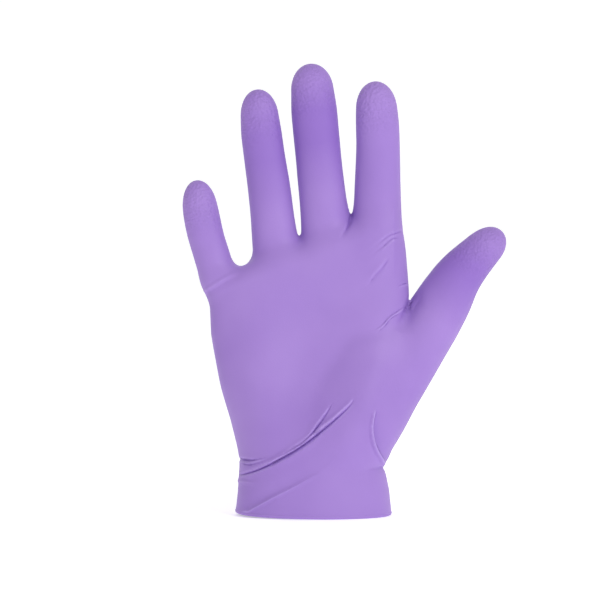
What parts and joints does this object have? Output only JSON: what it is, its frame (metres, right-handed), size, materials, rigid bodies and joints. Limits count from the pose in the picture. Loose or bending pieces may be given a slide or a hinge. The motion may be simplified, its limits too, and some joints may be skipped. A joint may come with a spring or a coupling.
{
  "type": "disposable glove",
  "caption": "Thin five-fingered disposable glove in its worn, open-handed shape, hollow, with a rolled wrist edge.",
  "frame": {"origin": "centre of the wrist opening, in the plane of its rolled edge's underside", "axes": "+Z from the wrist opening to the fingertips; -Y is the palm's outward direction and +Y the back of the hand's; +X is the thumb's side"},
  "size_m": [0.1517, 0.0504, 0.2114],
  "materials": {
    "nitrile_film": "soft satin purple rubber film"
  },
  "bodies": {
    "cuff": {"cuff_bead": "nitrile_film", "cuff_sleeve": "nitrile_film", "wrist_fold": "nitrile_film"},
    "palm": {"palm": "nitrile_film", "palm_crease_fold": "nitrile_film", "thumb_root_fold": "nitrile_film"},
    "finger_row": {"finger_roots": "nitrile_film", "index_knuckle_fold": "nitrile_film", "middle_knuckle_fold": "nitrile_film", "ring_knuckle_fold": "nitrile_film", "little_knuckle_fold": "nitrile_film"},
    "index_shaft": {"index_shaft": "nitrile_film", "index_tip_fold": "nitrile_film"},
    "index_tip": {"index_tip": "nitrile_film"},
    "middle_shaft": {"middle_shaft": "nitrile_film", "middle_tip_fold": "nitrile_film"},
    "middle_tip": {"middle_tip": "nitrile_film"},
    "ring_shaft": {"ring_shaft": "nitrile_film", "ring_tip_fold": "nitrile_film"},
    "ring_tip": {"ring_tip": "nitrile_film"},
    "little_shaft": {"little_shaft": "nitrile_film", "little_tip_fold": "nitrile_film"},
    "little_tip": {"little_tip": "nitrile_film"},
    "thumb_shaft": {"thumb_shaft": "nitrile_film", "thumb_tip_fold": "nitrile_film"},
    "thumb_tip": {"thumb_tip": "nitrile_film"}
  },
  "joints": [
    {"name": "wrist_bend", "type": "hinge", "parent": "cuff", "child": "palm", "pos_m": [0.0005, 0, 0.025], "axis": [1, 0, 0], "range_deg": [-45, 50], "stiffness_Nm_per_rad": 0.03, "deforming": ["wrist_fold"]},
    {"name": "knuckle_bend", "type": "hinge", "parent": "palm", "child": "finger_row", "pos_m": [-0.0019, 0, 0.1039], "axis": [0.977, 0, 0.213], "range_deg": [-15, 70], "stiffness_Nm_per_rad": 0.01, "deforming": ["palm_crease_fold"]},
    {"name": "index_middle_bend", "type": "hinge", "parent": "finger_row", "child": "index_shaft", "pos_m": [0.031, 0, 0.1556], "axis": [1, 0, -0.0087], "range_deg": [-6, 85], "stiffness_Nm_per_rad": 0.0015, "deforming": ["index_knuckle_fold"]},
    {"name": "index_tip_bend", "type": "hinge", "parent": "index_shaft", "child": "index_tip", "pos_m": [0.031, -0.00248, 0.17917], "axis": [0.9995, 0, 0.0305], "range_deg": [-6, 55], "stiffness_Nm_per_rad": 0.0006, "deforming": ["index_tip_fold"]},
    {"name": "middle_middle_bend", "type": "hinge", "parent": "finger_row", "child": "middle_shaft", "pos_m": [0.004, 0, 0.1584], "axis": [0.9945, 0, 0.1045], "range_deg": [-6, 85], "stiffness_Nm_per_rad": 0.0015, "deforming": ["middle_knuckle_fold"]},
    {"name": "middle_tip_bend", "type": "hinge", "parent": "middle_shaft", "child": "middle_tip", "pos_m": [0.00144, -0.00281, 0.18503], "axis": [0.9958, 0, 0.0915], "range_deg": [-6, 55], "stiffness_Nm_per_rad": 0.0006, "deforming": ["middle_tip_fold"]},
    {"name": "ring_middle_bend", "type": "hinge", "parent": "finger_row", "child": "ring_shaft", "pos_m": [-0.0193, 0, 0.149], "axis": [0.9934, 0, 0.1149], "range_deg": [-6, 85], "stiffness_Nm_per_rad": 0.0015, "deforming": ["ring_knuckle_fold"]},
    {"name": "ring_tip_bend", "type": "hinge", "parent": "ring_shaft", "child": "ring_tip", "pos_m": [-0.02329, -0.00271, 0.17445], "axis": [0.9923, 0, 0.1236], "range_deg": [-6, 55], "stiffness_Nm_per_rad": 0.0006, "deforming": ["ring_tip_fold"]},
    {"name": "little_middle_bend", "type": "hinge", "parent": "finger_row", "child": "little_shaft", "pos_m": [-0.0479, 0, 0.1227], "axis": [0.9545, 0, 0.2982], "range_deg": [-6, 85], "stiffness_Nm_per_rad": 0.0015, "deforming": ["little_knuckle_fold"]},
    {"name": "little_tip_bend", "type": "hinge", "parent": "little_shaft", "child": "little_tip", "pos_m": [-0.05188, -0.00182, 0.13954], "axis": [0.9836, 0, 0.1805], "range_deg": [-6, 55], "stiffness_Nm_per_rad": 0.0006, "deforming": ["little_tip_fold"]},
    {"name": "thumb_root_bend", "type": "hinge", "parent": "palm", "child": "thumb_shaft", "pos_m": [0.06, 0, 0.0971], "axis": [0.7314, 0, -0.682], "range_deg": [-10, 45], "stiffness_Nm_per_rad": 0.002, "deforming": ["thumb_root_fold"]},
    {"name": "thumb_tip_bend", "type": "hinge", "parent": "thumb_shaft", "child": "thumb_tip", "pos_m": [0.07094, -0.00237, 0.11685], "axis": [0.7826, 0, -0.6225], "range_deg": [-10, 55], "stiffness_Nm_per_rad": 0.0008, "deforming": ["thumb_tip_fold"]}
  ]
}
